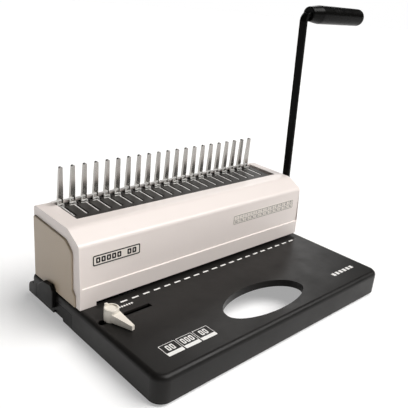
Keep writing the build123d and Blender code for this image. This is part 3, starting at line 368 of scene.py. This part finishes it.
def generic_bars(name, x0, y0, x1, y1, count, height, material):
    """A short row of plain blocks that stands where the machine has small print."""
    bm = bmesh.new()
    dx, dy = (x1 - x0) / count, (y1 - y0) / count
    length = math.hypot(dx, dy)
    ux, uy = dx / length, dy / length
    for i in range(count):
        sx, sy = x0 + dx * i, y0 + dy * i
        outline = [(sx + ux * a - uy * b, sy + uy * a + ux * b)
                   for a, b in rounded(0, length * BAR_SHARE, -height / 2, height / 2, 0.2, 1)]
        extruded(bm, outline, on_base, 0.0, PRINT_THICKNESS)
    finish_mesh(name, bm, material, "machine")


BADGE_X = (-153.2, -97.0)
BADGE_Z = (71.4, 82.6)
BADGE_BORDER = 1.3
BADGE_CELLS = 8
BADGE_SPACE = 5


def badge_print():
    """Rounded black border with a row of plain blocks inside."""
    bm = bmesh.new()
    (x0, x1), (z0, z1) = BADGE_X, BADGE_Z
    border = BADGE_BORDER
    low, high = LABEL_THICKNESS, LABEL_THICKNESS + PRINT_THICKNESS
    outer = rounded(x0, x1, z0, z1, 1.6)
    inner = rounded(x0 + border, x1 - border, z0 + border, z1 - border, 0.9)
    ring(bm, outer, inner, on_front, low, high)
    step = (x1 - x0 - 7.0) / BADGE_CELLS
    for i in range(BADGE_CELLS):
        if i == BADGE_SPACE:
            continue
        start = x0 + 3.5 + step * i
        end = start + step * 0.80
        block = rounded(start, end, z0 + 2.6, z1 - 2.6, 0.9, 3)
        hole = rounded(start + 1.75, end - 1.75, z0 + 4.3, z1 - 4.3, 0.3, 3)
        ring(bm, block, hole, on_front, low, high)
    finish_mesh("badge_print", bm, INK_BLACK, "machine")


CHART_X = (42.6, 154.8)
CHART_Z = (71.6, 82.2)
CHART_BORDER = 0.45
CHART_CELLS = 12
CHART_RING_Z = 79.6


def chart_print():
    """Comb size chart without words: a ruled frame, tick marks and growing rings."""
    bm = bmesh.new()
    (x0, x1), (z0, z1) = CHART_X, CHART_Z
    border = CHART_BORDER
    low, high = LABEL_THICKNESS, LABEL_THICKNESS + PRINT_THICKNESS
    outer = rounded(x0, x1, z0, z1, 0.8)
    inner = rounded(x0 + border, x1 - border, z0 + border, z1 - border, 0.5)
    ring(bm, outer, inner, on_front, low, high)
    step = (x1 - x0) / CHART_CELLS
    extruded(bm, rounded(x0 + 0.4, x1 - 0.4, 76.7, 77.0, 0.1, 1), on_front, low, high)
    for i in range(CHART_CELLS):
        middle = x0 + step * (i + 0.5)
        if i:
            edge = x0 + step * i
            tick = rounded(edge - 0.15, edge + 0.15, z0 + 0.3, z1 - 0.3, 0.1, 1)
            extruded(bm, tick, on_front, low, high)
        circles = []
        radius = 0.7 + 0.11 * i
        for r in (radius, radius * 0.62):
            extent = (middle - r, middle + r, CHART_RING_Z - r, CHART_RING_Z + r)
            circles.append(rounded(*extent, r * 0.98, 4))
        ring(bm, circles[0], circles[1], on_front, low, high)
        for row in range(2):
            z = 73.3 + 1.7 * row
            line = rounded(middle - 2.6, middle + 2.6 - 1.2 * row, z, z + 0.7, 0.15, 1)
            extruded(bm, line, on_front, low, high)
    finish_mesh("chart_print", bm, INK_GREY, "machine")


paper_marks()
icon_boxes()
generic_bars("side_print", 114.0, -187.5, 157.0, -187.5, 6, 5.6, INK_WHITE)
generic_bars("guide_print", -143.0, -102.4, -116.0, -102.4, 9, 2.4, INK_WHITE)
generic_bars("end_mark", 153.6, -94.9, 161.2, -94.9, 5, 1.5, INK_GREY)
badge_print()
chart_print()

EDGE_WIDTHS = (
    ("drawer_front", 0.5), ("chip_drawer", 0.4), ("guide_knob", 0.5), ("edge_fence", 0.25),
    ("comb_hooks", 0.18), ("comb_fingers", 0.45), ("lever_bar", 0.5), ("lever_hub", 0.4),
    ("hub_washer", 0.2), ("rear_cover", 0.4), ("bottom_plate", 0.3), ("guide_carriage", 0.4),
    ("die_block", 0.2), ("slot_plate", 0.15), ("name_badge", 0.1), ("comb_chart", 0.1),
)
for name, width in EDGE_WIDTHS:
    soften(name, width)


# ---------------------------------------------------------------- floor, light and camera
FLOOR_HALF = 14.0
FLOOR_TONE = (0.67, 0.67, 0.67, 1.0)
FLOOR_GLOW = 0.36


def floor():
    """Large flat pale ground that glows a little, so that it stays white far from the machine."""
    bm = bmesh.new()
    corners = []
    for x, y in ((-1, -1), (1, -1), (1, 1), (-1, 1)):
        corners.append(bm.verts.new((x * FLOOR_HALF, y * FLOOR_HALF, 0.0)))
    bm.faces.new(corners)
    mesh = bpy.data.meshes.new("ground")
    bm.to_mesh(mesh)
    bm.free()
    obj = bpy.data.objects.new("ground", mesh)
    bpy.context.scene.collection.objects.link(obj)
    mat = surface("pale_ground", FLOOR_TONE, 0.9, specular=0.1, tint=0.005, grain=40,
                  grain_depth=0.01)
    glow = mat.node_tree.nodes["Principled BSDF"]
    glow.inputs["Emission Color"].default_value = (1.0, 1.0, 1.0, 1.0)
    glow.inputs["Emission Strength"].default_value = FLOOR_GLOW
    obj.data.materials.append(mat)


def softbox(name, place, target, width, height, power, colour):
    """A rectangular area light aimed at a point."""
    data = bpy.data.lights.new(name, "AREA")
    data.shape = "RECTANGLE"
    data.size = width
    data.size_y = height
    data.energy = power
    data.color = colour
    obj = bpy.data.objects.new(name, data)
    obj.location = place
    obj.rotation_euler = (Vector(target) - Vector(place)).to_track_quat("-Z", "Y").to_euler()
    bpy.context.scene.collection.objects.link(obj)


def sunlight(name, towards, strength, spread, colour):
    """Very soft light from one side, the same all over the floor."""
    data = bpy.data.lights.new(name, "SUN")
    data.energy = strength
    data.angle = math.radians(spread)
    data.color = colour
    obj = bpy.data.objects.new(name, data)
    obj.rotation_euler = Vector(towards).to_track_quat("Z", "Y").to_euler()
    bpy.context.scene.collection.objects.link(obj)


def sky():
    """Studio surround: white near the horizon, dim above it."""
    world = bpy.data.worlds.new("studio")
    world.use_nodes = True
    bpy.context.scene.world = world
    tree = world.node_tree
    tree.nodes.clear()
    out = tree.nodes.new("ShaderNodeOutputWorld")
    background = tree.nodes.new("ShaderNodeBackground")
    coord = tree.nodes.new("ShaderNodeTexCoord")
    split = tree.nodes.new("ShaderNodeSeparateXYZ")
    ramp = tree.nodes.new("ShaderNodeValToRGB")
    tree.links.new(coord.outputs["Generated"], split.inputs["Vector"])
    tree.links.new(split.outputs["Z"], ramp.inputs["Fac"])
    ramp.color_ramp.elements[0].position = 0.05
    ramp.color_ramp.elements[0].color = (1.0, 1.0, 1.0, 1)
    ramp.color_ramp.elements[1].position = 0.11
    ramp.color_ramp.elements[1].color = (0.05, 0.05, 0.05, 1)
    tree.links.new(ramp.outputs["Color"], background.inputs["Color"])
    background.inputs["Strength"].default_value = 1.0
    tree.links.new(background.outputs["Background"], out.inputs["Surface"])


CAMERA_PLACE = (-403.378, -486.432, 321.689)
CAMERA_TURN = (0.7756337, 0.5155723, -0.2369102, -0.2764981)
CAMERA_LENS = 47.357
CAMERA_SHIFT = (0.00124, 0.00281)


def camera():
    """Camera at the viewing angle of the reference view."""
    data = bpy.data.cameras.new("view")
    data.sensor_fit = "HORIZONTAL"
    data.sensor_width = 36.0
    data.lens = CAMERA_LENS
    data.shift_x = CAMERA_SHIFT[0]
    data.shift_y = CAMERA_SHIFT[1]
    data.clip_start = 0.01
    data.clip_end = 60.0
    obj = bpy.data.objects.new("view", data)
    obj.location = at(*CAMERA_PLACE)
    obj.rotation_mode = "QUATERNION"
    obj.rotation_quaternion = Quaternion(CAMERA_TURN)
    bpy.context.scene.collection.objects.link(obj)
    bpy.context.scene.camera = obj


floor()
sunlight("key_light", towards=(0.58, -0.62, 1.22), strength=3.75, spread=48.0,
         colour=(1.0, 0.985, 0.972))
softbox("rear_light", place=(1.7, 1.5, 1.25), target=(0.1, -0.05, 0.0), width=1.1, height=0.8,
        power=8.0, colour=(1.0, 0.99, 0.98))
sky()
camera()
bpy.context.scene.view_settings.view_transform = "Standard"
bpy.context.scene.view_settings.look = "None"
